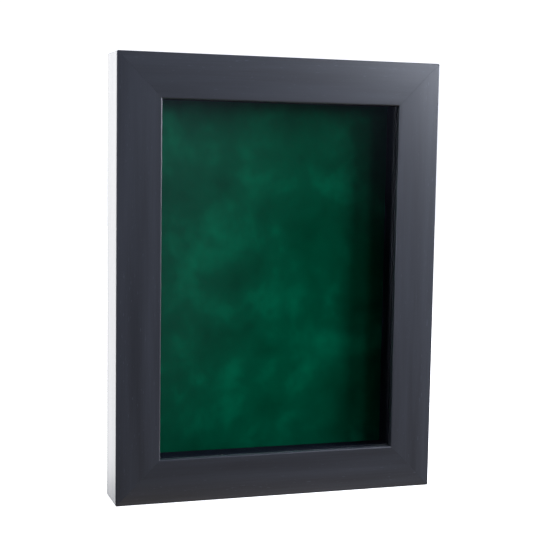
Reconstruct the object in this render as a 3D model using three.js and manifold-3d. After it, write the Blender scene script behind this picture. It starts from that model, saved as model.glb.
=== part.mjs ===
// A rear-loading shadow box: a mitred moulding with a rabbet, a pane behind its lip, liners
// that space a velvet-covered board from the pane, and a back held by turn buttons.
// Millimetres. X is across, Y is depth with the face at -Y, Z is up.
// The origin is the middle of the underside of the bottom rail.
import * as THREE from 'three';
import { mergeVertices } from 'three/addons/utils/BufferGeometryUtils.js';
import Module from 'manifold-3d';

const wasm = await Module();
wasm.setup();

// Moulding. The rabbet takes an A4 pane, and the lip laps over it all round.
const rabbetWidth = 210;
const rabbetHeight = 297;
const lipWidth = 5;
const lipThickness = 5;
const faceWidth = 36;
const frameDepth = 40;
const outerArris = 0.75;
const sightArris = 1.2;
const cornerEase = 1.5;
const mitreGap = 0.1;

// What the rabbet holds, from the lip to the back.
const paneThickness = 2;
const velvetRecess = 26.6;
const velvetThickness = 1;
const velvetHem = 22;
const boardThickness = 8;
const backThickness = 2.5;
const edgePlay = 0.5;
const layerGap = 0.2;

// Turn buttons and their screws.
const buttonLength = 34;
const buttonWidth = 11;
const buttonThickness = 1;
const buttonPivotInset = 9;
const railButtonPlace = 50;
const stileButtonPlace = 85;
const screwHeadRadius = 3.4;
const screwHeadHeight = 1.8;
const screwShankRadius = 1.5;
const screwLength = 13;
const crossLength = 3.6;
const crossWidth = 0.8;
const crossDepth = 1;

// Sawtooth hangers and their nails.
const hangerLength = 48;
const hangerWidth = 11;
const hangerThickness = 0.9;
const hangerRise = 1.4;
const hangerRaisedLength = 30;
const hangerRamp = 2;
const hangerNailPlace = 20;
const toothPitch = 3;
const toothDepth = 2;
const nailHeadRadius = 2;
const nailHeadHeight = 0.6;
const nailShankRadius = 0.9;
const nailLength = 11;

// V-nails that hold each mitre, and the wall bumpers.
const vNailPlaces = { outer: 9, inner: 21 };
const vNailHalf = 4;
const vNailThickness = 0.6;
const vNailHeight = 10;
const bumperRadius = 5.5;
const bumperHeight = 3.5;
const bumperPlace = 46;

const clearance = 0.3;
const roundSides = 20;

const front = -frameDepth / 2;
const rear = frameDepth / 2;
const outerWidth = rabbetWidth + 2 * (faceWidth - lipWidth);
const outerHeight = rabbetHeight + 2 * (faceWidth - lipWidth);
const rabbetWall = faceWidth - lipWidth;
const middle = outerHeight / 2;
const plateBottom = rear + layerGap;
const pivotInset = rabbetWall - buttonPivotInset;
const hangerInset = rabbetWall / 2;
const screwHole = screwShankRadius + clearance;
const nailHole = nailShankRadius + clearance;

const paneFront = front + lipThickness + layerGap;
const paneBack = paneFront + paneThickness;
const velvetFront = front + velvetRecess;
const boardFront = velvetFront + velvetThickness + layerGap;
const boardBack = boardFront + boardThickness;
const hemBack = boardBack + layerGap + velvetThickness;
const backFront = hemBack + layerGap;

function finish(color, roughness, metalness = 0) {
  return new THREE.MeshStandardMaterial({ color, roughness, metalness });
}

const finishes = {
  blackWood: () => finish(0x262a33, 0.42),
  blackLiner: () => finish(0x0c0e13, 0.8),
  glass: () => {
    const clear = finish(0xe8f0ee, 0.03);
    clear.transparent = true;
    clear.opacity = 0.15;
    return clear;
  },
  greenVelvet: () => finish(0x05482f, 0.95),
  softboard: () => finish(0x8a7458, 0.95),
  hardboard: () => finish(0x4b3322, 0.7),
  zincSteel: () => finish(0xb9bcc0, 0.35, 1),
  rubber: () => finish(0x1a1a1b, 0.8),
};

function piece(name, geometry, material) {
  const mesh = new THREE.Mesh(geometry, material);
  mesh.name = name;
  return mesh;
}

// Only triangles with three different corners are kept, so that the poles of a turned
// shape close.
function toSolid(geometry) {
  const bare = geometry.clone();
  bare.deleteAttribute('normal');
  bare.deleteAttribute('uv');
  const merged = mergeVertices(bare, 1e-4);
  const corners = merged.index.array;
  const kept = [];
  for (let i = 0; i < corners.length; i += 3) {
    const [a, b, c] = corners.slice(i, i + 3);
    if (a !== b && b !== c && c !== a) kept.push(a, b, c);
  }
  return new wasm.Manifold(new wasm.Mesh({
    numProp: 3,
    vertProperties: Float32Array.from(merged.attributes.position.array),
    triVerts: Uint32Array.from(kept),
  }));
}

function toGeometry(solid) {
  const mesh = solid.getMesh();
  const geometry = new THREE.BufferGeometry();
  geometry.setAttribute('position', new THREE.BufferAttribute(mesh.vertProperties, 3));
  geometry.setIndex(new THREE.BufferAttribute(mesh.triVerts, 1));
  geometry.computeVertexNormals();
  return geometry;
}

function cut(geometry, tools) {
  let solid = toSolid(geometry);
  for (const tool of tools) solid = solid.subtract(toSolid(tool));
  return toGeometry(solid);
}

function outline(points) {
  return new THREE.Shape(points.map(([x, y]) => new THREE.Vector2(x, y)));
}

// A flat plate drawn in X and Z, between two depths.
function plate(shape, nearY, farY) {
  const depth = farY - nearY;
  const geometry = new THREE.ExtrudeGeometry(shape, { depth, bevelEnabled: false, curveSegments: 8 });
  geometry.rotateX(Math.PI / 2);
  geometry.translate(0, farY, 0);
  return geometry;
}

function block(width, nearY, farY, lowZ, highZ) {
  const geometry = new THREE.BoxGeometry(width, farY - nearY, highZ - lowZ);
  geometry.translate(0, (nearY + farY) / 2, (lowZ + highZ) / 2);
  return geometry;
}

// A round hole along Y, between two depths.
function drill(along, inset, radius, nearY, farY) {
  const tool = new THREE.CylinderGeometry(radius, radius, farY - nearY, roundSides);
  tool.translate(along, (nearY + farY) / 2, inset);
  return tool;
}

// Each side is drawn as the bottom one lies: X along it, Z from its outer edge inwards.

// The moulding's section, drawn as depth against the distance from the outer edge.
function mouldingSection() {
  return outline([
    [front, outerArris],
    [front + outerArris, 0],
    [rear - outerArris, 0],
    [rear, outerArris],
    [rear, rabbetWall],
    [front + lipThickness, rabbetWall],
    [front + lipThickness, faceWidth],
    [front + sightArris, faceWidth],
    [front, faceWidth - sightArris],
  ]);
}

function mitredMoulding(length) {
  const geometry = new THREE.ExtrudeGeometry(mouldingSection(), { depth: length, bevelEnabled: false });
  const alongX = new THREE.Matrix4().makeBasis(
    new THREE.Vector3(0, 1, 0),
    new THREE.Vector3(0, 0, 1),
    new THREE.Vector3(1, 0, 0),
  );
  geometry.applyMatrix4(alongX);
  const position = geometry.attributes.position;
  for (let i = 0; i < position.count; i += 1) {
    const reach = (length - mitreGap) / 2 - position.getZ(i);
    position.setX(i, position.getX(i) > length / 2 ? reach : -reach);
  }
  return geometry;
}

// The sharp outer end of a mitre is sanded off.
function cornerCut(x) {
  const width = cornerEase * Math.SQRT2;
  const tool = new THREE.BoxGeometry(width, frameDepth + 2, width);
  tool.rotateY(Math.PI / 4);
  tool.translate(x, 0, 0);
  return tool;
}

// A V-nail's chevron points inwards along the mitre. Grown, it cuts the slot for itself.
function vNail(grow) {
  const outer = vNailHalf + grow * Math.SQRT2;
  const inner = vNailHalf - (vNailThickness + grow) * Math.SQRT2;
  const shape = outline([
    [-outer - grow, -grow],
    [-inner - grow, -grow],
    [0, inner],
    [inner + grow, -grow],
    [outer + grow, -grow],
    [0, outer],
  ]);
  const top = grow > 0 ? rear + 1 : rear - layerGap;
  return plate(shape, rear - vNailHeight - grow, top);
}

function vNailSlots(length) {
  const slots = [];
  for (const end of [-1, 1]) {
    for (const inset of Object.values(vNailPlaces)) {
      const slot = vNail(clearance);
      slot.rotateY(-end * Math.PI / 4);
      slot.translate(end * (length / 2 - inset), 0, inset);
      slots.push(slot);
    }
  }
  return slots;
}

function moulding(length, buttonPlace, hasHanger) {
  const screwBottom = rear - screwLength - clearance;
  const tools = [cornerCut(-length / 2), cornerCut(length / 2), ...vNailSlots(length)];
  for (const end of [-1, 1]) {
    tools.push(drill(end * buttonPlace, pivotInset, screwHole, screwBottom, rear + 1));
    if (hasHanger) {
      tools.push(drill(end * hangerNailPlace, hangerInset, nailHole, rear - nailLength, rear + 1));
    }
  }
  return cut(mitredMoulding(length), tools);
}

function liner(length) {
  return block(length, paneBack + layerGap, velvetFront - layerGap, rabbetWall + layerGap, faceWidth);
}

// A steel finger with round ends. Its hole is at X 0, and it points along +X.
function turnButton() {
  const round = buttonWidth / 2;
  const shape = new THREE.Shape();
  shape.absarc(0, 0, round, Math.PI / 2, 1.5 * Math.PI, false);
  shape.absarc(buttonLength - buttonWidth, 0, round, -Math.PI / 2, Math.PI / 2, false);
  const hole = new THREE.Path();
  hole.absarc(0, 0, screwHole, 0, 2 * Math.PI, true);
  shape.holes.push(hole);
  return plate(shape, plateBottom, plateBottom + buttonThickness);
}

function turned(points) {
  return new THREE.LatheGeometry(points.map(([r, y]) => new THREE.Vector2(r, y)), roundSides);
}

function buttonScrew() {
  const seat = plateBottom + buttonThickness + layerGap;
  const top = seat + screwHeadHeight;
  const body = turned([
    [0, rear - screwLength],
    [screwShankRadius, rear - screwLength + 3],
    [screwShankRadius, seat],
    [screwHeadRadius, seat],
    [screwHeadRadius, seat + screwHeadHeight * 0.35],
    [screwHeadRadius * 0.72, seat + screwHeadHeight * 0.85],
    [0, top],
  ]);
  const crossing = [0, Math.PI / 2].map((angle) => {
    const slot = new THREE.BoxGeometry(crossLength, 2 * crossDepth, crossWidth);
    slot.rotateY(angle);
    slot.translate(0, top, 0);
    return slot;
  });
  return cut(body, crossing);
}

function hangerNail() {
  const seat = plateBottom + hangerThickness + layerGap;
  return turned([
    [0, rear - nailLength + clearance],
    [nailShankRadius, rear - nailLength + 2],
    [nailShankRadius, seat],
    [nailHeadRadius, seat],
    [nailHeadRadius, seat + nailHeadHeight],
    [0, seat + nailHeadHeight],
  ]);
}

// A strip whose middle stands off the wood, with teeth along the edge that faces inwards.
function sawtoothHanger() {
  const half = hangerLength / 2;
  const raised = hangerRaisedLength / 2;
  const foot = raised + hangerRamp;
  const under = plateBottom;
  const over = plateBottom + hangerThickness;
  const strip = new THREE.ExtrudeGeometry(outline([
    [-half, under],
    [-foot, under],
    [-raised, under + hangerRise],
    [raised, under + hangerRise],
    [foot, under],
    [half, under],
    [half, over],
    [foot, over],
    [raised, over + hangerRise],
    [-raised, over + hangerRise],
    [-foot, over],
    [-half, over],
  ]), { depth: hangerWidth, bevelEnabled: false });
  strip.translate(0, 0, hangerInset - hangerWidth / 2);

  const edge = hangerInset + hangerWidth / 2;
  const teeth = Math.floor(hangerRaisedLength / toothPitch) - 1;
  const notches = [];
  for (let tooth = 0; tooth < teeth; tooth += 1) {
    const x = (tooth - (teeth - 1) / 2) * toothPitch;
    const notch = outline([[-toothPitch * 0.45, 1], [0, -toothDepth], [toothPitch * 0.45, 1]]);
    const tool = plate(notch, rear, over + hangerRise + 1);
    tool.translate(x, 0, edge);
    notches.push(tool);
  }
  const holes = [-1, 1].map((end) => (
    drill(end * hangerNailPlace, hangerInset, nailHole, rear, over + 1)
  ));
  return cut(strip, [...notches, ...holes]);
}

function wallBumper() {
  return turned([
    [0, plateBottom],
    [bumperRadius, plateBottom],
    [bumperRadius, plateBottom + bumperHeight * 0.35],
    [bumperRadius * 0.86, plateBottom + bumperHeight * 0.75],
    [bumperRadius * 0.6, rear + bumperHeight],
    [0, rear + bumperHeight],
  ]);
}

function side({ name, rail, length, linerLength, buttonPlace, ends, hasHanger, place, turn }) {
  const group = new THREE.Group();
  group.add(piece(rail, moulding(length, buttonPlace, hasHanger), finishes.blackWood()));
  group.add(piece(`liner_${name}`, liner(linerLength), finishes.blackLiner()));
  ends.forEach((end, index) => {
    const way = index === 0 ? -1 : 1;
    const button = piece(`turn_button_${name}_${end}`, turnButton(), finishes.zincSteel());
    button.position.set(way * buttonPlace, 0, pivotInset);
    button.rotation.y = way < 0 ? Math.PI : 0;
    group.add(button);
    const screw = piece(`button_screw_${name}_${end}`, buttonScrew(), finishes.zincSteel());
    screw.position.set(way * buttonPlace, 0, pivotInset);
    group.add(screw);
    if (hasHanger) {
      const nail = piece(`hanger_nail_${name}_${end}`, hangerNail(), finishes.zincSteel());
      nail.position.set(way * hangerNailPlace, 0, hangerInset);
      group.add(nail);
    }
  });
  if (hasHanger) {
    group.add(piece(`sawtooth_hanger_${name}`, sawtoothHanger(), finishes.zincSteel()));
  }
  group.position.set(place[0], 0, place[1]);
  group.rotation.y = turn;
  return group;
}

function sides() {
  const railSide = {
    length: outerWidth,
    linerLength: rabbetWidth - 2 * layerGap,
    buttonPlace: railButtonPlace,
  };
  const stileSide = {
    length: outerHeight,
    linerLength: outerHeight - 2 * (faceWidth + layerGap),
    buttonPlace: stileButtonPlace,
  };
  return [
    side({
      ...railSide, name: 'bottom', rail: 'frame_bottom_rail', ends: ['left', 'right'],
      hasHanger: false, place: [0, 0], turn: 0,
    }),
    side({
      ...stileSide, name: 'right', rail: 'frame_right_stile', ends: ['lower', 'upper'],
      hasHanger: false, place: [outerWidth / 2, middle], turn: -Math.PI / 2,
    }),
    side({
      ...railSide, name: 'top', rail: 'frame_top_rail', ends: ['right', 'left'],
      hasHanger: true, place: [0, outerHeight], turn: Math.PI,
    }),
    side({
      ...stileSide, name: 'left', rail: 'frame_left_stile', ends: ['upper', 'lower'],
      hasHanger: true, place: [-outerWidth / 2, middle], turn: Math.PI / 2,
    }),
  ];
}

function corners() {
  const group = new THREE.Group();
  for (const [vertical, up] of [['bottom', -1], ['top', 1]]) {
    for (const [horizontal, right] of [['left', -1], ['right', 1]]) {
      for (const [which, inset] of Object.entries(vNailPlaces)) {
        const name = `v_nail_${vertical}_${horizontal}_${which}`;
        const nail = piece(name, vNail(0), finishes.zincSteel());
        nail.position.set(right * (outerWidth / 2 - inset), 0, middle + up * (middle - inset));
        nail.rotation.y = Math.atan2(-right, -up);
        group.add(nail);
      }
    }
  }
  return group;
}

function pane() {
  const width = rabbetWidth - 2 * edgePlay;
  const low = middle - rabbetHeight / 2 + edgePlay;
  const high = middle + rabbetHeight / 2 - edgePlay;
  return piece('glass_pane', block(width, paneFront, paneBack, low, high), finishes.glass());
}

// The velvet is wrapped round the board's edges and lapped over its back.
function backing() {
  const group = new THREE.Group();
  const halfHeight = rabbetHeight / 2 - edgePlay;
  const width = rabbetWidth - 2 * edgePlay;
  const skin = velvetThickness + layerGap;
  const tray = block(width, velvetFront, hemBack, middle - halfHeight, middle + halfHeight);
  const pocket = block(
    width - 2 * velvetThickness,
    velvetFront + velvetThickness,
    hemBack - velvetThickness,
    middle - halfHeight + velvetThickness,
    middle + halfHeight - velvetThickness,
  );
  const mouth = block(
    width - 2 * velvetHem,
    boardBack,
    hemBack + 1,
    middle - halfHeight + velvetHem,
    middle + halfHeight - velvetHem,
  );
  group.add(piece('velvet_cover', cut(tray, [pocket, mouth]), finishes.greenVelvet()));

  const board = block(
    width - 2 * skin,
    boardFront,
    boardBack,
    middle - halfHeight + skin,
    middle + halfHeight - skin,
  );
  group.add(piece('pin_board', board, finishes.softboard()));

  const panel = block(width, backFront, backFront + backThickness, middle - halfHeight, middle + halfHeight);
  group.add(piece('back_panel', panel, finishes.hardboard()));
  return group;
}

function bumpers() {
  const group = new THREE.Group();
  for (const [end, right] of [['left', -1], ['right', 1]]) {
    const bumper = piece(`wall_bumper_${end}`, wallBumper(), finishes.rubber());
    bumper.position.set(right * (outerWidth / 2 - bumperPlace), 0, hangerInset);
    group.add(bumper);
  }
  return group;
}

const shadowBox = new THREE.Group();
shadowBox.add(...sides(), corners(), pane(), backing(), bumpers());

export default shadowBox;
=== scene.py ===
from math import cos, pi, radians, sin

import bmesh
import bpy
from mathutils import Matrix, Vector, noise


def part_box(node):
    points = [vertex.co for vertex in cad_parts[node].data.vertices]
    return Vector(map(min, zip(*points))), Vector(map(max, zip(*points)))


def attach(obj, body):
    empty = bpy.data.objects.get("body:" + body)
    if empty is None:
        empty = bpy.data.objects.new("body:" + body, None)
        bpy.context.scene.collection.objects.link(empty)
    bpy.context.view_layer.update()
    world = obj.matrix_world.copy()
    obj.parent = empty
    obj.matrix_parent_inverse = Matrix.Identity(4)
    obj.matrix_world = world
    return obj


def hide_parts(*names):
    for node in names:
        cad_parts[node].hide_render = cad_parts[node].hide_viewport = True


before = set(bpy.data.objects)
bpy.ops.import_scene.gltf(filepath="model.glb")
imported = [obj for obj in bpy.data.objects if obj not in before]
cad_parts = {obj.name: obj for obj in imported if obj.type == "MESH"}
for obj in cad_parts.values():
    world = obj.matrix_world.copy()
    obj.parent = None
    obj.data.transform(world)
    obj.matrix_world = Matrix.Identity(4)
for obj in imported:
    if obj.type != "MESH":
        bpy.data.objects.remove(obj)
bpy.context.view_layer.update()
bpy.ops.object.select_all(action="DESELECT")

mm = 0.001
near = 0.05 * mm  # closer than this counts as the same place
print("frame loaded:", len(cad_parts), "CAD nodes")

# ---- places taken from the frame ----
railLow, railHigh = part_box("frame_bottom_rail")
frontY, rearY = railLow.y, railHigh.y
faceWidth = railHigh.z
outerWidth = 2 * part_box("frame_right_stile")[1].x
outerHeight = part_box("frame_top_rail")[1].z
middleZ = outerHeight / 2

# A side is modelled as the bottom one lies, X along it and Z inwards, and then laid in place.
sidePlaces = {
    "bottom": (Vector((0, 0, 0)), 0.0),
    "right": (Vector((outerWidth / 2, 0, middleZ)), -pi / 2),
    "top": (Vector((0, 0, outerHeight)), pi),
    "left": (Vector((-outerWidth / 2, 0, middleZ)), pi / 2),
}


# ---- small modelling helpers ----
def only(piece):
    bpy.ops.object.select_all(action="DESELECT")
    piece.select_set(True)
    bpy.context.view_layer.objects.active = piece


def applyPlace(piece):
    only(piece)
    bpy.ops.object.transform_apply(location=True, rotation=True, scale=True)


def addCube(name, low, high):
    bpy.ops.mesh.primitive_cube_add(size=1, location=(low + high) / 2, scale=high - low)
    piece = bpy.context.object
    piece.name = name
    piece.data.name = name
    applyPlace(piece)
    return piece


def addDisc(name, radius, nearY, farY, sides=48):
    # a cylinder along Y, through X 0 and Z 0
    bpy.ops.mesh.primitive_cylinder_add(
        vertices=sides, radius=radius, depth=farY - nearY,
        location=(0, (nearY + farY) / 2, 0), rotation=(pi / 2, 0, 0))
    piece = bpy.context.object
    piece.name = name
    piece.data.name = name
    applyPlace(piece)
    return piece


def startEdit(piece):
    only(piece)
    bpy.ops.object.mode_set(mode="EDIT")
    bpy.ops.mesh.select_mode(type="FACE")
    bpy.ops.mesh.select_all(action="SELECT")


def endEdit():
    bpy.ops.object.mode_set(mode="OBJECT")


def pickFaces(test):
    bpy.ops.mesh.select_mode(type="FACE")
    bpy.ops.mesh.select_all(action="DESELECT")
    mesh = bmesh.from_edit_mesh(bpy.context.object.data)
    for face in mesh.faces:
        face.select_set(test(face.calc_center_median(), face.normal))
    bmesh.update_edit_mesh(bpy.context.object.data)


def pickEdges(test):
    bpy.ops.mesh.select_mode(type="EDGE")
    bpy.ops.mesh.select_all(action="DESELECT")
    mesh = bmesh.from_edit_mesh(bpy.context.object.data)
    for edge in mesh.edges:
        start, end = (vertex.co for vertex in edge.verts)
        edge.select_set(test(start, end))
    bmesh.update_edit_mesh(bpy.context.object.data)


def pickPoints(test):
    bpy.ops.mesh.select_mode(type="VERT")
    bpy.ops.mesh.select_all(action="DESELECT")
    mesh = bmesh.from_edit_mesh(bpy.context.object.data)
    for vertex in mesh.verts:
        vertex.select_set(test(vertex.co))
    mesh.select_flush(True)
    bmesh.update_edit_mesh(bpy.context.object.data)


def bevelPicked(width, segments):
    bpy.ops.mesh.bevel(offset=width, segments=segments, profile=0.5, affect="EDGES")


def slicePiece(point, normal, cutAway=True):
    # what lies on the normal's side goes, and the cut is closed
    bpy.ops.mesh.select_mode(type="FACE")
    bpy.ops.mesh.select_all(action="SELECT")
    bpy.ops.mesh.bisect(plane_co=point, plane_no=normal, clear_outer=cutAway, use_fill=cutAway)


def applyModifier(piece, kind, **settings):
    only(piece)
    modifier = piece.modifiers.new(kind.title(), kind)
    for name, value in settings.items():
        setattr(modifier, name, value)
    bpy.ops.object.modifier_apply(modifier=modifier.name)


def joinPieces(pieces, name):
    only(pieces[0])
    for piece in pieces[1:]:
        piece.select_set(True)
    bpy.ops.object.join()
    joined = bpy.context.object
    joined.name = name
    return joined


def cutWith(piece, cutter):
    applyModifier(piece, "BOOLEAN", object=cutter, operation="DIFFERENCE", solver="EXACT")
    bpy.data.objects.remove(cutter)


def roundEdges(piece, width, segments=2, angle=30):
    applyModifier(piece, "BEVEL", width=width, segments=segments, limit_method="ANGLE",
                  angle_limit=radians(angle), use_clamp_overlap=True)


def smoothPiece(piece, angle=35):
    # flat faces stay flat, and only the rounds between them shade as rounds
    only(piece)
    bpy.ops.object.shade_smooth_by_angle(angle=radians(angle))
    applyModifier(piece, "WEIGHTED_NORMAL", keep_sharp=True, weight=100)


def layOnSide(piece, side, along=0.0, inset=0.0, turn=0.0):
    place, angle = sidePlaces[side]
    piece.matrix_world = (Matrix.Translation(place) @ Matrix.Rotation(angle, 4, "Y")
                          @ Matrix.Translation((along, 0, inset)) @ Matrix.Rotation(turn, 4, "Y"))
    applyPlace(piece)


def copyPiece(piece, name):
    only(piece)
    bpy.ops.object.duplicate(linked=False)
    copied = bpy.context.object
    copied.name = name
    copied.data.name = name
    return copied


def settle(piece, body, slotName, finish, *nodes):
    piece.data.materials.clear()
    piece.data.materials.append(finish)
    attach(piece, body)
    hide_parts(*nodes)


# ---- materials ----
def linear(code):
    # "#rrggbb" in sRGB to linear red, green, blue and alpha
    channels = [int(code[i:i + 2], 16) / 255 for i in (1, 3, 5)]
    return [c / 12.92 if c <= 0.04045 else ((c + 0.055) / 1.055) ** 2.4 for c in channels] + [1.0]


# a Mix node has sockets of the same name for each kind of data, so its colour ones go by number
colourA, colourB, colourOut = 6, 7, 2


def newMaterial(name):
    material = bpy.data.materials.new(name)
    material.use_nodes = True
    return material, material.node_tree.nodes["Principled BSDF"]


def fillSockets(owner, node, values=None, links=None):
    for socket, value in (values or {}).items():
        node.inputs[socket].default_value = value
    for socket, source in (links or {}).items():
        owner.node_tree.links.new(source, node.inputs[socket])


def addNode(owner, kind, options=None, values=None, links=None, ramp=None):
    # a colour ramp's stops come as (position, colour), from the lowest up
    node = owner.node_tree.nodes.new(kind)
    for name, value in (options or {}).items():
        setattr(node, name, value)
    fillSockets(owner, node, values, links)
    for i, (position, colour) in enumerate(ramp or ()):
        stops = node.color_ramp.elements
        stop = stops[i] if i < 2 else stops.new(position)
        stop.position = position
        stop.color = linear(colour)
    return node


def patternAt(material, scale=(1, 1, 1), turn=(0, 0, 0)):
    # Object coordinates times a scale for each axis
    coordinate = addNode(material, "ShaderNodeTexCoord")
    return addNode(material, "ShaderNodeMapping", values={"Scale": scale, "Rotation": turn},
                   links={"Vector": coordinate.outputs["Object"]}).outputs["Vector"]


def perMetre(size):
    return 1 / size


def blackStainedWood(name, grainAxis):
    # close-grained wood under black stain and satin lacquer: dark charcoal with a cool cast, broad
    # faint bands and a trace of straight streaks along each length, and a soft, wide highlight
    stain = {
        "dark": "#1e2129", "light": "#31353f", "fleckTone": "#474c5a",
        # each mark's length and width, and its noise's detail and roughness
        "streak": (45 * mm, 1.1 * mm, 3.0, 0.6),  # real pores are a third as wide, too fine to show
        "band": (210 * mm, 11 * mm, 2.0, 0.5),
        "fleck": (6 * mm, 0.8 * mm, 1.0, 0.5),
        "bandShare": 0.7, "poreDepth": 0.03 * mm, "satin": (0.47, 0.57),
    }
    material, shader = newMaterial(name)
    grain = {}
    for mark in ("streak", "band", "fleck"):
        length, width, detail, roughness = stain[mark]
        along, across = perMetre(length), perMetre(width)
        scale = (along, across, across) if grainAxis == "X" else (across, across, along)
        grain[mark] = addNode(material, "ShaderNodeTexNoise",
                              values={"Scale": 1.0, "Detail": detail, "Roughness": roughness},
                              links={"Vector": patternAt(material, scale)}).outputs["Fac"]
    figure = addNode(material, "ShaderNodeMix", options={"data_type": "FLOAT"},
                     values={"Factor": stain["bandShare"]},
                     links={"A": grain["streak"], "B": grain["band"]}).outputs["Result"]
    tone = addNode(material, "ShaderNodeValToRGB", links={"Fac": figure},
                   ramp=((0.32, stain["dark"]), (0.7, stain["light"])))
    fleck = addNode(material, "ShaderNodeMapRange",
                    values={"From Min": 0.7, "From Max": 0.76, "To Max": 0.6},
                    links={"Value": grain["fleck"]})
    stained = addNode(material, "ShaderNodeMix", options={"data_type": "RGBA"},
                      values={colourB: linear(stain["fleckTone"])},
                      links={"Factor": fleck.outputs["Result"], colourA: tone.outputs["Color"]})
    gloss = addNode(material, "ShaderNodeMapRange",
                    values={"From Min": 0.3, "From Max": 0.7,
                            "To Min": stain["satin"][0], "To Max": stain["satin"][1]},
                    links={"Value": figure})
    pores = addNode(material, "ShaderNodeBump",
                    values={"Strength": 0.2, "Distance": stain["poreDepth"]},
                    links={"Height": grain["streak"]})
    fillSockets(material, shader, {"IOR": 1.5, "Coat Weight": 1.0, "Coat Roughness": 0.26},
                {"Base Color": stained.outputs[colourOut], "Roughness": gloss.outputs["Result"],
                 "Normal": pores.outputs["Normal"]})
    return material


def blackPaintedBoard():
    # thin board rolled with matt black paint: near black, flat, with a faint stipple
    material, shader = newMaterial("matt black painted board")
    stipple = addNode(material, "ShaderNodeTexNoise",
                      values={"Scale": perMetre(1.5 * mm), "Detail": 2.0},
                      links={"Vector": patternAt(material)}).outputs["Fac"]
    tone = addNode(material, "ShaderNodeValToRGB", links={"Fac": stipple},
                   ramp=((0, "#0c0f17"), (1, "#151923")))
    rough = addNode(material, "ShaderNodeMapRange", values={"To Min": 0.6, "To Max": 0.75},
                    links={"Value": stipple})
    bump = addNode(material, "ShaderNodeBump", values={"Strength": 0.3, "Distance": 0.05 * mm},
                   links={"Height": stipple})
    fillSockets(material, shader, {"Specular IOR Level": 0.03},
                {"Base Color": tone.outputs["Color"], "Roughness": rough.outputs["Result"],
                 "Normal": bump.outputs["Normal"]})
    return material


def cottonVelvet():
    # short cut pile, dark green: clouds where the nap lies one way or the other, a soft sheen
    # at a low angle, no gloss, and a few specks of lint
    nap = {
        "deep": "#004830", "middle": "#00573b", "bright": "#00714e", "sheen": "#009c74",
        "cloud": 46 * mm, "patch": 13 * mm, "patchShare": 0.22,
        "pile": 0.9 * mm,  # tufts are a third of this, too fine to show
        "lint": 17 * mm, "lintSize": 0.02, "lintTone": "#3f6d60",  # a speck's radius is a share of its cell
    }
    material, shader = newMaterial("green cotton velvet")
    clouds = addNode(material, "ShaderNodeTexNoise",
                     values={"Scale": perMetre(nap["cloud"]), "Detail": 3.0, "Roughness": 0.5,
                             "Distortion": 0.35},
                     links={"Vector": patternAt(material)})
    patches = addNode(material, "ShaderNodeTexNoise",
                      values={"Scale": perMetre(nap["patch"]), "Detail": 3.0, "Roughness": 0.6},
                      links={"Vector": patternAt(material, (1, 1, 0.7), (0, radians(25), 0))})
    pile = addNode(material, "ShaderNodeTexNoise",
                   values={"Scale": perMetre(nap["pile"]), "Detail": 2.0, "Roughness": 0.7},
                   links={"Vector": patternAt(material)}).outputs["Fac"]
    lie = addNode(material, "ShaderNodeMix", options={"data_type": "FLOAT"},
                  values={"Factor": nap["patchShare"]},
                  links={"A": clouds.outputs["Fac"], "B": patches.outputs["Fac"]})
    tone = addNode(material, "ShaderNodeValToRGB", links={"Fac": lie.outputs["Result"]},
                   ramp=((0.33, nap["deep"]), (0.5, nap["middle"]), (0.66, nap["bright"])))
    shade = addNode(material, "ShaderNodeMapRange", values={"To Min": 0.84, "To Max": 1.16},
                    links={"Value": pile})
    tufts = addNode(material, "ShaderNodeMix", options={"data_type": "RGBA", "blend_type": "MULTIPLY"},
                    values={"Factor": 1.0},
                    links={colourA: tone.outputs["Color"], colourB: shade.outputs["Result"]})
    lint = addNode(material, "ShaderNodeTexVoronoi", values={"Scale": perMetre(nap["lint"])},
                   links={"Vector": patternAt(material)})
    speck = addNode(material, "ShaderNodeMath", options={"operation": "LESS_THAN"},
                    values={1: nap["lintSize"]}, links={0: lint.outputs["Distance"]})
    dusted = addNode(material, "ShaderNodeMix", options={"data_type": "RGBA"},
                     values={colourB: linear(nap["lintTone"])},
                     links={"Factor": speck.outputs["Value"], colourA: tufts.outputs[colourOut]})
    bump = addNode(material, "ShaderNodeBump", values={"Strength": 0.15, "Distance": 0.2 * mm},
                   links={"Height": pile})
    fillSockets(material, shader,
                {"Roughness": 1.0, "Specular IOR Level": 0.0, "Sheen Weight": 0.35,
                 "Sheen Roughness": 0.45, "Sheen Tint": linear(nap["sheen"])},
                {"Base Color": dusted.outputs[colourOut], "Normal": bump.outputs["Normal"]})
    return material


def floatGlass():
    # 2 mm clear float glass: colourless on the face, a sharp, weak reflection, a trace of wiping
    material, shader = newMaterial("clear float glass")
    wipe = addNode(material, "ShaderNodeTexNoise", values={"Scale": perMetre(60 * mm), "Detail": 3.0},
                   links={"Vector": patternAt(material)})
    haze = addNode(material, "ShaderNodeMapRange", values={"To Min": 0.0, "To Max": 0.03},
                   links={"Value": wipe.outputs["Fac"]})
    fillSockets(material, shader,
                {"Base Color": linear("#fafdfc"), "Transmission Weight": 1.0, "IOR": 1.5},
                {"Roughness": haze.outputs["Result"]})
    # lamp light and light bounced off the velvet go straight through a flat pane
    ray = addNode(material, "ShaderNodeLightPath")
    through = addNode(material, "ShaderNodeMath", options={"operation": "MAXIMUM"},
                      links={0: ray.outputs["Is Shadow Ray"], 1: ray.outputs["Is Diffuse Ray"]})
    clear = addNode(material, "ShaderNodeBsdfTransparent")
    pane = addNode(material, "ShaderNodeMixShader",
                   links={"Fac": through.outputs["Value"], 1: shader.outputs["BSDF"],
                          2: clear.outputs["BSDF"]})
    fillSockets(material, material.node_tree.nodes["Material Output"],
                links={"Surface": pane.outputs["Shader"]})
    return material


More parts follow.
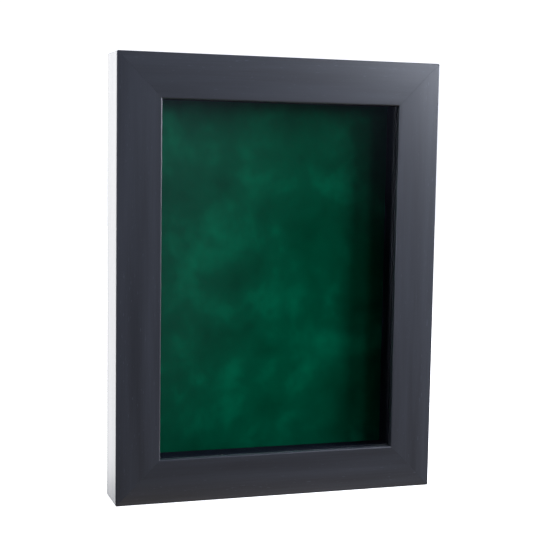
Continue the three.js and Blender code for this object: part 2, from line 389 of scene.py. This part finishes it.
def softFibreboard():
    # low-density board that takes pins: pale brown felted fibres, dead matt
    material, shader = newMaterial("soft fibreboard")
    fibres = addNode(material, "ShaderNodeTexNoise",
                     values={"Scale": perMetre(2 * mm), "Detail": 4.0, "Distortion": 1.5},
                     links={"Vector": patternAt(material)}).outputs["Fac"]
    tone = addNode(material, "ShaderNodeValToRGB", links={"Fac": fibres},
                   ramp=((0.3, "#6f5a41"), (0.7, "#a98f6d")))
    bump = addNode(material, "ShaderNodeBump", values={"Strength": 0.6, "Distance": 0.3 * mm},
                   links={"Height": fibres})
    fillSockets(material, shader, {"Roughness": 0.95},
                {"Base Color": tone.outputs["Color"], "Normal": bump.outputs["Normal"]})
    return material


def temperedHardboard():
    # pressed fibre, oiled smooth side out: dark brown, speckled with lighter fibres, low satin
    material, shader = newMaterial("tempered hardboard")
    fibres = addNode(material, "ShaderNodeTexNoise",
                     values={"Scale": perMetre(1.6 * mm), "Detail": 4.0, "Distortion": 2.0},
                     links={"Vector": patternAt(material)}).outputs["Fac"]
    oil = addNode(material, "ShaderNodeTexNoise", values={"Scale": perMetre(50 * mm), "Detail": 3.0},
                  links={"Vector": patternAt(material)}).outputs["Fac"]
    mottle = addNode(material, "ShaderNodeMix", options={"data_type": "FLOAT"},
                     values={"Factor": 0.45}, links={"A": fibres, "B": oil}).outputs["Result"]
    tone = addNode(material, "ShaderNodeValToRGB", links={"Fac": mottle},
                   ramp=((0.35, "#3d2a1c"), (0.68, "#6b4c33")))
    rough = addNode(material, "ShaderNodeMapRange", values={"To Min": 0.45, "To Max": 0.65},
                    links={"Value": mottle})
    bump = addNode(material, "ShaderNodeBump", values={"Strength": 0.25, "Distance": 0.08 * mm},
                   links={"Height": fibres})
    fillSockets(material, shader,
                links={"Base Color": tone.outputs["Color"], "Roughness": rough.outputs["Result"],
                       "Normal": bump.outputs["Normal"]})
    return material


def zincPlatedSteel():
    # bright zinc on pressed steel: cool silver with a faint blue-yellow cloud and fine scratches
    material, shader = newMaterial("zinc-plated steel")
    scratchSize = (perMetre(3 * mm), perMetre(0.4 * mm), perMetre(0.4 * mm))
    cloud = addNode(material, "ShaderNodeTexNoise", values={"Scale": perMetre(6 * mm), "Detail": 3.0},
                    links={"Vector": patternAt(material)})
    scratch = addNode(material, "ShaderNodeTexNoise", values={"Scale": 1.0, "Detail": 3.0},
                      links={"Vector": patternAt(material, scratchSize, (0, radians(35), 0))}
                      ).outputs["Fac"]
    tone = addNode(material, "ShaderNodeValToRGB", links={"Fac": cloud.outputs["Fac"]},
                   ramp=((0.35, "#b7bec6"), (0.7, "#d6d4c8")))
    rough = addNode(material, "ShaderNodeMapRange", values={"To Min": 0.22, "To Max": 0.42},
                    links={"Value": scratch})
    bump = addNode(material, "ShaderNodeBump", values={"Strength": 0.2, "Distance": 0.02 * mm},
                   links={"Height": scratch})
    fillSockets(material, shader, {"Metallic": 1.0},
                {"Base Color": tone.outputs["Color"], "Roughness": rough.outputs["Result"],
                 "Normal": bump.outputs["Normal"]})
    return material


def mouldedRubber():
    # black moulded rubber: soft grey bloom, dull
    material, shader = newMaterial("moulded black rubber")
    bloom = addNode(material, "ShaderNodeTexNoise",
                    values={"Scale": perMetre(2.5 * mm), "Detail": 3.0},
                    links={"Vector": patternAt(material)}).outputs["Fac"]
    tone = addNode(material, "ShaderNodeValToRGB", links={"Fac": bloom},
                   ramp=((0, "#121214"), (1, "#242426")))
    rough = addNode(material, "ShaderNodeMapRange", values={"To Min": 0.65, "To Max": 0.85},
                    links={"Value": bloom})
    fillSockets(material, shader,
                links={"Base Color": tone.outputs["Color"], "Roughness": rough.outputs["Result"]})
    return material


woodAcross = blackStainedWood("black stained wood, grain across", "X")
woodUpright = blackStainedWood("black stained wood, grain upright", "Z")
paintedBoard = blackPaintedBoard()
velvetFinish = cottonVelvet()
glassFinish = floatGlass()
fibreFinish = softFibreboard()
hardboardFinish = temperedHardboard()
steelFinish = zincPlatedSteel()
rubberFinish = mouldedRubber()
print("materials made")


# ---- the moulding: four mitred lengths ----
moulding = {
    "lip": 5 * mm, "lipThickness": 5 * mm, "sightArris": 1.2 * mm, "outerArris": 0.6 * mm,
    # the face falls away by the crown over this width, towards its outer edge
    "crown": 0.7 * mm, "crownWidth": 22 * mm, "crownRows": 6,
    "mitreEase": 0.05 * mm, "cornerEase": 0.9 * mm, "mitreGap": 0.02 * mm,
    "screwHole": 1.8 * mm, "screwDepth": 13.3 * mm, "nailHole": 1.2 * mm, "nailDepth": 11 * mm,
}
slot = {"insets": (9 * mm, 21 * mm), "half": 4 * mm, "steel": 0.6 * mm, "play": 0.3 * mm,
        "depth": 10.3 * mm, "slant": 1.4}  # the V's legs stand at 45 degrees
wallZ = faceWidth - moulding["lip"]


def centreOf(node):
    low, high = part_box(node)
    return (low + high) / 2


pivotInset = centreOf("button_screw_bottom_right").z
hangerInset = outerHeight - centreOf("sawtooth_hanger_top").z
railButton = centreOf("button_screw_bottom_right").x
stileButton = centreOf("button_screw_right_upper").z - middleZ
hangerNail = centreOf("hanger_nail_top_right").x


def edgeAt(y, z):
    # picks edges that run along X through this depth and inset
    return lambda a, b: all(abs(p.y - y) < near and abs(p.z - z) < near for p in (a, b))


def slotCutters(length):
    # a slot for each V-nail, a little larger than the nail, at both ends
    cutters = []
    reach = slot["half"] + slot["play"] * slot["slant"]
    steel = (slot["steel"] + 2 * slot["play"]) * slot["slant"]
    for end in (-1, 1):
        for inset in slot["insets"]:
            cutter = addCube("slot", Vector((-reach, rearY - slot["depth"], -slot["play"])),
                             Vector((reach, rearY + mm, steel - slot["play"])))
            startEdit(cutter)
            slicePiece((0, 0, 0), (1, 0, 0), cutAway=False)
            pickPoints(lambda point: abs(point.x) < near)
            bpy.ops.transform.translate(value=(0, 0, reach - steel))
            endEdit()
            cutter.location = (end * (length / 2 - inset), 0, inset)
            cutter.rotation_euler = (0, -end * pi / 4, 0)
            applyPlace(cutter)
            cutters.append(cutter)
    return cutters


def holeCutter(along, inset, radius, depth):
    cutter = addDisc("hole", radius, rearY - depth, rearY + mm, sides=24)
    cutter.location = (along, 0, inset)
    applyPlace(cutter)
    return cutter


def makeMoulding(name, side, length, buttonPlace, hangerPlace):
    low = Vector((-length / 2, frontY, 0))
    high = Vector((length / 2, rearY, wallZ))
    piece = addCube(name, low, high)
    startEdit(piece)
    lipBack = frontY + moulding["lipThickness"]
    slicePiece((0, lipBack, 0), (0, 1, 0), cutAway=False)
    pickFaces(lambda centre, normal: normal.z > 0.9 and centre.y < lipBack)
    bpy.ops.mesh.extrude_region_move(TRANSFORM_OT_translate={"value": (0, 0, moulding["lip"])})
    pickEdges(edgeAt(frontY, faceWidth))
    bevelPicked(moulding["sightArris"], 4)
    rows = moulding["crownRows"]
    for row in range(rows, 0, -1):
        slicePiece((0, 0, row * moulding["crownWidth"] / rows), (0, 0, 1), cutAway=False)
    for row in range(rows):
        z = row * moulding["crownWidth"] / rows
        drop = moulding["crown"] * (1 - row / rows) ** 2
        pickPoints(lambda point: abs(point.z - z) < near and abs(point.y - frontY) < near)
        bpy.ops.transform.translate(value=(0, drop, 0))
    pickEdges(lambda a, b: edgeAt(frontY + moulding["crown"], 0)(a, b) or edgeAt(rearY, 0)(a, b))
    bevelPicked(moulding["outerArris"], 3)
    for end in (-1, 1):
        tip = Vector((end * length / 2, 0, 0))
        slicePiece(tip - Vector((end * moulding["mitreGap"], 0, 0)), (end, 0, 1))
        slicePiece(tip - Vector((end * moulding["cornerEase"], 0, 0)), (end, 0, -1))
    endEdit()
    cutters = slotCutters(length)
    for end in (-1, 1):
        cutters.append(holeCutter(end * buttonPlace, pivotInset, moulding["screwHole"],
                                  moulding["screwDepth"]))
        if hangerPlace:
            cutters.append(holeCutter(end * hangerPlace, hangerInset, moulding["nailHole"],
                                      moulding["nailDepth"]))
    cutWith(piece, joinPieces(cutters, "cutters"))
    roundEdges(piece, moulding["mitreEase"], 2, 40)
    smoothPiece(piece, 40)
    layOnSide(piece, side)
    return piece


for name, side, length, buttonPlace, hangerPlace, finish in (
    ("bottomRail", "bottom", outerWidth, railButton, None, woodAcross),
    ("topRail", "top", outerWidth, railButton, hangerNail, woodAcross),
    ("leftStile", "left", outerHeight, stileButton, hangerNail, woodUpright),
    ("rightStile", "right", outerHeight, stileButton, None, woodUpright),
):
    node = f"frame_{side}_rail" if side in ("bottom", "top") else f"frame_{side}_stile"
    piece = makeMoulding(name, side, length, buttonPlace, hangerPlace)
    settle(piece, "frame", "black_wood", finish, node)
print("moulding made")


# ---- boards and pane: cut square, with their edges taken off ----
def makeBoard(name, node, ease, segments, body, slotName, finish):
    low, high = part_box(node)
    piece = addCube(name, low, high)
    roundEdges(piece, ease, segments)
    smoothPiece(piece)
    settle(piece, body, slotName, finish, node)


for side in sidePlaces:
    makeBoard(side + "Liner", "liner_" + side, 0.3 * mm, 2, "frame", "black_liner", paintedBoard)
makeBoard("glassPane", "glass_pane", 0.4 * mm, 1, "frame", "glass", glassFinish)
makeBoard("pinBoard", "pin_board", 0.8 * mm, 3, "backing", "softboard", fibreFinish)
makeBoard("backPanel", "back_panel", 0.5 * mm, 2, "backing", "hardboard", hardboardFinish)
print("liners, pane, pin board and back panel made")


# ---- velvet: one cloth, stretched over the board and lapped over its back ----
velvet = {
    "cloth": 0.9 * mm, "fold": 2.4 * mm, "hem": 22 * mm, "rows": 48,
    # the wadding's crown, and how late it falls away across and along the cloth
    "crown": 2 * mm, "fallAcross": 4, "fallAlong": 6,
    "ripple": 0.15 * mm, "rippleSize": 45 * mm,
}


def makeVelvet():
    low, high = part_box("velvet_cover")
    middle, half = (low + high) / 2, (high - low) / 2
    piece = addCube("velvetCover", low, high)
    startEdit(piece)
    bpy.ops.mesh.subdivide(number_cuts=velvet["rows"])
    endEdit()
    # the rows are drawn towards the edges, where the cloth folds over the board
    for vertex in piece.data.vertices:
        for axis in range(3):
            share = max(-1, min(1, (vertex.co[axis] - middle[axis]) / half[axis]))
            vertex.co[axis] = middle[axis] + half[axis] * sin(share * pi / 2)
    startEdit(piece)
    pickFaces(lambda centre, normal: normal.y > 0.9 and abs(centre.x - middle.x) < half.x - velvet["hem"]
              and abs(centre.z - middle.z) < half.z - velvet["hem"])
    bpy.ops.mesh.delete(type="FACE")
    endEdit()
    fold = velvet["fold"]
    for vertex in piece.data.vertices:
        place = vertex.co - middle
        core = Vector([max(fold - half[axis], min(half[axis] - fold, place[axis])) for axis in range(3)])
        over = place - core
        place = core + (over.normalized() * fold if over.length > 0 else over)
        # a thin wadding under the cloth rounds the front, and its tension pulls it down at the edges
        if place.y < 0:
            rise = ((1 - (place.x / half.x) ** velvet["fallAcross"])
                    * (1 - (place.z / half.z) ** velvet["fallAlong"]))
            ripple = noise.noise(Vector((place.x, 0, place.z)) * perMetre(velvet["rippleSize"]))
            place.y -= max(0, rise) * (velvet["crown"] + velvet["ripple"] * ripple)
        vertex.co = middle + place
    applyModifier(piece, "SOLIDIFY", thickness=velvet["cloth"], offset=-1, use_even_offset=False)
    smoothPiece(piece, 60)
    return piece, high - low


velvetCover, velvetSize = makeVelvet()
settle(velvetCover, "backing", "green_velvet", velvetFinish, "velvet_cover")
print("velvet made")


# ---- turn buttons and their screws ----
button = {"plate": 0.8 * mm, "emboss": 0.2 * mm, "margin": 1.5 * mm, "slope": 0.35 * mm,
          "hole": 1.8 * mm, "edge": 0.18 * mm}
# a pin's tip is scaled down by its taper, and stays clear of its CAD solid's end
screw = {
    "sides": 48, "rim": 1.1 * mm, "rimRows": 6, "lift": 0.2 * mm, "shank": 1.5 * mm,
    "point": 2.8 * mm, "clear": 0.2 * mm, "taper": 0.12,
    "crossLength": 3.8 * mm, "crossWidth": 0.75 * mm, "crossDepth": 1.0 * mm, "edge": 0.08 * mm,
}


def roundRim(rear, width, rows):
    # rounds the edge of the face that lies at this depth
    pickEdges(lambda a, b: min(a.y, b.y) > rear - near)
    bevelPicked(width, rows)


def makePin(name, node, seat, pin):
    # a rounded head from the seat outwards, and under it a shank that runs out in a point
    low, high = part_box(node)
    radius = (high.x - low.x) / 2
    piece = addDisc(name, radius, seat, high.y, pin["sides"])
    startEdit(piece)
    roundRim(high.y, pin["rim"], pin["rimRows"])
    pickFaces(lambda centre, normal: normal.y < -0.9)
    bpy.ops.mesh.inset(thickness=radius - pin["shank"])
    shoulder = low.y + pin["clear"] + pin["point"]
    bpy.ops.mesh.extrude_region_move(TRANSFORM_OT_translate={"value": (0, shoulder - seat, 0)})
    bpy.ops.mesh.extrude_region_move(TRANSFORM_OT_translate={"value": (0, -pin["point"], 0)})
    bpy.ops.transform.resize(value=(pin["taper"], 1, pin["taper"]))
    endEdit()
    return piece


def makeButton():
    low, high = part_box("turn_button_bottom_right")
    width = high.z - low.z
    length = high.x - low.x
    piece = addDisc("turnButton", width / 2, low.y, low.y + button["plate"], sides=64)
    startEdit(piece)
    # half of the disc is drawn out, which makes a finger with round ends
    pickPoints(lambda point: point.x > near)
    bpy.ops.transform.translate(value=(length - width, 0, 0))
    pickFaces(lambda centre, normal: normal.y > 0.9)
    bpy.ops.mesh.inset(thickness=button["margin"])
    bpy.ops.mesh.inset(thickness=button["slope"])
    bpy.ops.transform.translate(value=(0, button["emboss"], 0))
    endEdit()
    cutWith(piece, addDisc("hole", button["hole"], low.y - mm, high.y + mm, sides=32))
    roundEdges(piece, button["edge"], 2, 50)
    smoothPiece(piece, 30)
    return piece


def makeScrew():
    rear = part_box("button_screw_bottom_right")[1].y
    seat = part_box("turn_button_bottom_right")[1].y + screw["lift"]
    piece = makePin("buttonScrew", "button_screw_bottom_right", seat, screw)
    for span in ((screw["crossLength"], screw["crossWidth"]), (screw["crossWidth"], screw["crossLength"])):
        half = Vector((span[0] / 2, 0, span[1] / 2))
        cutWith(piece, addCube("cross", Vector((-half.x, rear - screw["crossDepth"], -half.z)),
                               Vector((half.x, rear + mm, half.z))))
    roundEdges(piece, screw["edge"], 1, 50)
    smoothPiece(piece, 35)
    return piece


buttonPattern = makeButton()
screwPattern = makeScrew()
sideEnds = {"bottom": ("left", "right"), "right": ("lower", "upper"),
            "top": ("right", "left"), "left": ("upper", "lower")}
for side, ends in sideEnds.items():
    along = railButton if side in ("bottom", "top") else stileButton
    for way, end in zip((-1, 1), ends):
        tag = side.title() + end.title()
        finger = copyPiece(buttonPattern, "turnButton" + tag)
        layOnSide(finger, side, way * along, pivotInset, pi if way < 0 else 0)
        node = f"turn_button_{side}_{end}"
        settle(finger, node, "zinc_steel", steelFinish, node)
        fixing = copyPiece(screwPattern, "buttonScrew" + tag)
        crossTurn = radians(17 + 40 * way + 9 * len(side))  # no two driven home alike
        layOnSide(fixing, side, way * along, pivotInset, crossTurn)
        settle(fixing, "frame", "zinc_steel", steelFinish, f"button_screw_{side}_{end}")
bpy.data.objects.remove(buttonPattern)
bpy.data.objects.remove(screwPattern)
print("turn buttons and screws made")


# ---- sawtooth hangers and their nails ----
hanger = {"raised": 30 * mm, "ramp": 2 * mm, "rise": 1.4 * mm, "steel": 0.9 * mm, "pitch": 3 * mm,
          "tooth": 2 * mm, "toothWidth": 0.78, "toothOut": 0.1 * mm, "nailHole": 1.2 * mm,
          "edge": 0.15 * mm}
nail = {"sides": 32, "head": 0.6 * mm, "rim": 0.2 * mm, "rimRows": 3, "shank": 0.9 * mm,
        "point": 1.8 * mm, "clear": 0.2 * mm, "taper": 0.15}


def makeHanger():
    low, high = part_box("sawtooth_hanger_top")
    half = Vector(((high.x - low.x) / 2, 0, (high.z - low.z) / 2))
    over = low.y + hanger["steel"]
    piece = addCube("sawtoothHanger", Vector((-half.x, low.y, -half.z)), Vector((half.x, over, half.z)))
    startEdit(piece)
    flat = hanger["raised"] / 2
    for x in (-flat - hanger["ramp"], -flat, flat, flat + hanger["ramp"]):
        slicePiece((x, 0, 0), (1, 0, 0), cutAway=False)
    pickPoints(lambda point: abs(point.x) < flat + near)
    bpy.ops.transform.translate(value=(0, hanger["rise"], 0))
    endEdit()
    notches = []
    count = int(hanger["raised"] / hanger["pitch"]) - 1
    for tooth in range(count):
        notch = addDisc("notch", hanger["tooth"], rearY, high.y + mm, sides=3)
        notch.location = ((tooth - (count - 1) / 2) * hanger["pitch"], 0, half.z + hanger["toothOut"])
        notch.rotation_euler = (0, pi, 0)
        notch.scale = (hanger["toothWidth"], 1, 1)
        applyPlace(notch)
        notches.append(notch)
    cutWith(piece, joinPieces(notches, "notches"))
    for end in (-1, 1):
        hole = addDisc("hole", hanger["nailHole"], rearY - mm, high.y + mm, sides=24)
        hole.location = (end * hangerNail, 0, 0)
        applyPlace(hole)
        cutWith(piece, hole)
    roundEdges(piece, hanger["edge"], 2, 30)
    smoothPiece(piece, 30)
    return piece


def makeNail():
    node = "hanger_nail_top_right"
    piece = makePin("hangerNail", node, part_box(node)[1].y - nail["head"], nail)
    smoothPiece(piece, 35)
    return piece


hangerPattern = makeHanger()
nailPattern = makeNail()
for side in ("top", "left"):
    strip = copyPiece(hangerPattern, "sawtoothHanger" + side.title())
    layOnSide(strip, side, 0, hangerInset)
    settle(strip, "frame", "zinc_steel", steelFinish, "sawtooth_hanger_" + side)
    for way, end in zip((-1, 1), sideEnds[side]):
        brad = copyPiece(nailPattern, "hangerNail" + side.title() + end.title())
        layOnSide(brad, side, way * hangerNail, hangerInset)
        settle(brad, "frame", "zinc_steel", steelFinish, f"hanger_nail_{side}_{end}")
bpy.data.objects.remove(hangerPattern)
bpy.data.objects.remove(nailPattern)
print("hangers and nails made")


# ---- wall bumpers ----
bumper = {"rim": 2.2 * mm, "rimRows": 6}


def makeBumper(name, node):
    low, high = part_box(node)
    piece = addDisc(name, (high.x - low.x) / 2, low.y, high.y)
    startEdit(piece)
    roundRim(high.y, bumper["rim"], bumper["rimRows"])
    endEdit()
    centre = centreOf(node)
    piece.location = (centre.x, 0, centre.z)
    applyPlace(piece)
    smoothPiece(piece, 40)
    settle(piece, "frame", "rubber", rubberFinish, node)


makeBumper("wallBumperLeft", "wall_bumper_left")
makeBumper("wallBumperRight", "wall_bumper_right")

# the V-nails' CAD shape is right, so they only take their metal
for nodeName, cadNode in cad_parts.items():
    if nodeName.startswith("v_nail"):
        cadNode.data.materials.clear()
        cadNode.data.materials.append(steelFinish)
print("bumpers and V-nails done")


# ---- floor, light and camera ----
def makeFloor():
    # a white table that only the camera sees, lit up by itself to near white; it throws and blocks
    # no light, and tableBounce and tableGlow stand in for what it would send back
    floorSize, ownGlow = 8, 0.85
    bpy.ops.mesh.primitive_plane_add(size=floorSize, location=(0, 0, 0))
    floor = bpy.context.object
    floor.name = "floor"
    applyPlace(floor)
    floor.visible_diffuse = False
    floor.visible_glossy = False
    floor.visible_transmission = False
    floor.visible_shadow = False
    material, shader = newMaterial("white studio floor")
    ray = addNode(material, "ShaderNodeLightPath")
    glow = addNode(material, "ShaderNodeMapRange", values={"To Min": 0.0, "To Max": ownGlow},
                   links={"Value": ray.outputs["Is Camera Ray"]})
    fillSockets(material, shader,
                {"Base Color": linear("#f4f4f4"), "Roughness": 0.95, "Specular IOR Level": 0.0,
                 "Emission Color": linear("#ffffff")},
                {"Emission Strength": glow.outputs["Result"]})
    floor.data.materials.append(material)


def makeWorld():
    # a white sweep behind the box, brighter upwards, and a dark room before it: there the pane
    # picks up a faint veil from a pale ceiling and from a lit doorway
    light = {"cool": "#c4d4ff", "white": "#f6f8ff", "seen": 1.2}
    # the way to each glow, the cosine to it where it starts and where it is full, and its strength;
    # whiteness is how much of the cool tint it takes away
    glows = {
        "behind": ((0, 0.9, 0.44), -0.1, 1.0, 1.05),
        "ceiling": ((0, 0, 1), -0.08, 0.06, 0.09),
        "doorway": ((0.07, -0.997, -0.03), 0.961, 0.998, 0.17),
        "whiteness": ((0, 1, 0), -0.5, 0.1, 1.0),
    }
    world = bpy.data.worlds.new("studio")
    world.use_nodes = True
    bpy.context.scene.world = world
    direction = addNode(world, "ShaderNodeTexCoord").outputs["Generated"]
    glow = {}
    for name, (axis, start, full, strength) in glows.items():
        towards = addNode(world, "ShaderNodeVectorMath", options={"operation": "DOT_PRODUCT"},
                          values={1: axis}, links={0: direction})
        glow[name] = addNode(world, "ShaderNodeMapRange", options={"interpolation_type": "SMOOTHSTEP"},
                             values={"From Min": start, "From Max": full, "To Max": strength},
                             links={"Value": towards.outputs["Value"]}).outputs["Result"]
    total = glow["behind"]
    for name in ("ceiling", "doorway"):
        total = addNode(world, "ShaderNodeMath", options={"operation": "ADD"},
                        links={0: total, 1: glow[name]}).outputs["Value"]
    # cool before the box and white behind it; the camera sees plain white, straight through the
    # pane too, where nothing has been mirrored on the way
    ray = addNode(world, "ShaderNodeLightPath")
    straight = addNode(world, "ShaderNodeMath", options={"operation": "LESS_THAN"}, values={1: 0.5},
                       links={0: ray.outputs["Glossy Depth"]})
    through = addNode(world, "ShaderNodeMath", options={"operation": "MULTIPLY"},
                      links={0: straight.outputs["Value"], 1: ray.outputs["Is Transmission Ray"]})
    plain = addNode(world, "ShaderNodeMath", options={"operation": "MAXIMUM"},
                    links={0: through.outputs["Value"], 1: ray.outputs["Is Camera Ray"]})
    white = addNode(world, "ShaderNodeMath", options={"operation": "MAXIMUM"},
                    links={0: glow["whiteness"], 1: plain.outputs["Value"]})
    tint = addNode(world, "ShaderNodeMix", options={"data_type": "RGBA"},
                   values={colourA: linear(light["cool"]), colourB: linear(light["white"])},
                   links={"Factor": white.outputs["Value"]})
    strength = addNode(world, "ShaderNodeMix", options={"data_type": "FLOAT"},
                       values={"B": light["seen"]},
                       links={"Factor": plain.outputs["Value"], "A": total})
    fillSockets(world, world.node_tree.nodes["Background"],
                links={"Color": tint.outputs[colourOut], "Strength": strength.outputs["Result"]})


# degrees round (0 in front of the box, 90 on its right) and up, metres away, metres wide and high,
# watts and colour; tableBounce and tableGlow are what a white table sends up
lamps = {
    "keySoftbox": (69, 24, 1.4, (0.85, 0.85), 33, "#eaf0ff"),
    "keyFlap": (35, 17, 1.4, (0.35, 0.4), 2.8, "#eaf0ff"),
    "tableBounce": (70, -36, 1.4, (0.5, 0.4), 4.0, "#fff2e2"),
    "tableGlow": (14, -34, 1.4, (0.8, 0.3), 0.7, "#fff2e2"),
    "leftCard": (-34, 6, 1.4, (0.4, 0.6), 7, "#e2e9ff"),
    "sideGlow": (208, 8, 1.5, (1.2, 1.6), 8, "#ffffff"),
}


def addLamp(name, azimuth, elevation, distance, size, power, tint):
    aim = Vector((0, 0, middleZ))
    turn, lift = radians(azimuth), radians(elevation)
    place = aim + distance * Vector((sin(turn) * cos(lift), -cos(turn) * cos(lift), sin(lift)))
    lamp = bpy.data.lights.new(name, "AREA")
    lamp.shape = "RECTANGLE"
    lamp.size, lamp.size_y = size
    lamp.energy = power
    lamp.color = linear(tint)[:3]
    holder = bpy.data.objects.new(name, lamp)
    holder.location = place
    holder.rotation_euler = (aim - place).to_track_quat("-Z", "Y").to_euler()
    holder.visible_camera = False
    holder.visible_transmission = False
    bpy.context.scene.collection.objects.link(holder)
    return holder


def makeCamera():
    view = {
        "place": (-0.3203, -0.9925, 0.2780), "yaw": -18.36, "pitch": -5.91, "roll": -0.97,
        "sensor": 36, "lens": 82.6, "shift": (-0.0171, 0.0262),
    }
    camera = bpy.data.cameras.new("camera")
    camera.sensor_width = view["sensor"]
    camera.lens = view["lens"]
    camera.shift_x, camera.shift_y = view["shift"]
    holder = bpy.data.objects.new("camera", camera)
    turn = (Matrix.Rotation(radians(view["yaw"]), 4, "Z")
            @ Matrix.Rotation(radians(view["pitch"] + 90), 4, "X")
            @ Matrix.Rotation(radians(-view["roll"]), 4, "Z"))
    holder.matrix_world = Matrix.Translation(view["place"]) @ turn
    bpy.context.scene.collection.objects.link(holder)
    bpy.context.scene.camera = holder


makeFloor()
makeWorld()
for name, settings in lamps.items():
    # the card only shows as a sheen on the lacquer, and lights nothing
    addLamp(name, *settings).visible_diffuse = name != "leftCard"
makeCamera()
bpy.context.scene.view_settings.view_transform = "Standard"
print("floor, light and camera set")
